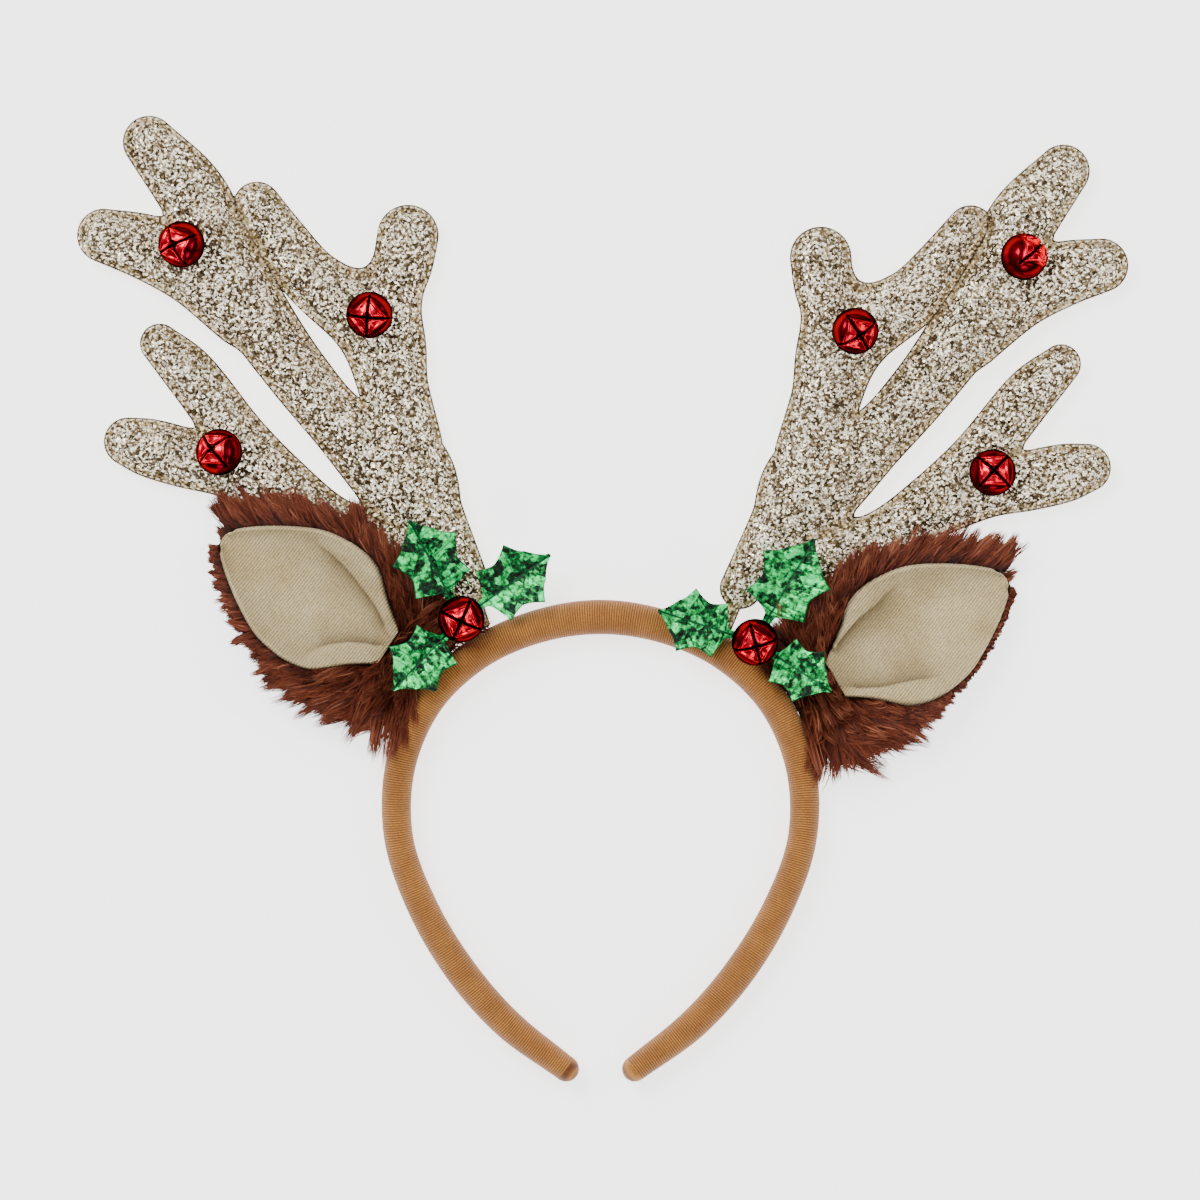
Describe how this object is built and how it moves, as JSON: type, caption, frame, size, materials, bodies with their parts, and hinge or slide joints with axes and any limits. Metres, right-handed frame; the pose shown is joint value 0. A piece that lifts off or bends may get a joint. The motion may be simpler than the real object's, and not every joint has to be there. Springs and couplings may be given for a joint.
{
  "type": "reindeer antler headband",
  "caption": "Costume headband wound in tan fabric, with padded glitter antlers, red jingle bells, green foil holly leaves and brown fur ears with cream linings",
  "frame": {"origin": "middle of the band's crown on the flat of its back, where it lies on a table", "axes": "+X right seen from the front, +Y from the crown to the antlers' tops, +Z the way the front faces"},
  "size_m": [0.3155, 0.2897, 0.0271],
  "materials": {
    "tan_fabric": "matte ribbed stretch fabric",
    "glitter_fabric": "champagne glitter",
    "red_metal": "polished",
    "green_foil": "embossed foil",
    "clear_glue": "clear hot glue",
    "cream_twill": "matte twill",
    "brown_fur": "deep soft pile"
  },
  "bodies": {
    "root": {"headband": "tan_fabric", "antler_left": "glitter_fabric", "antler_right": "glitter_fabric", "antler_bell_left_1": "red_metal", "antler_bell_left_2": "red_metal", "antler_bell_left_3": "red_metal", "antler_bell_right_1": "red_metal", "antler_bell_right_2": "red_metal", "antler_bell_right_3": "red_metal", "holly_bell_left": "red_metal", "holly_bell_right": "red_metal", "holly_leaf_left_1": "green_foil", "holly_leaf_left_2": "green_foil", "holly_leaf_left_3": "green_foil", "holly_leaf_right_1": "green_foil", "holly_leaf_right_2": "green_foil", "holly_leaf_right_3": "green_foil", "glue_left": "clear_glue", "glue_right": "clear_glue", "ear_lining_left": "cream_twill", "ear_lining_right": "cream_twill", "ear_fur_left": "brown_fur", "ear_fur_right": "brown_fur"}
  },
  "joints": []
}
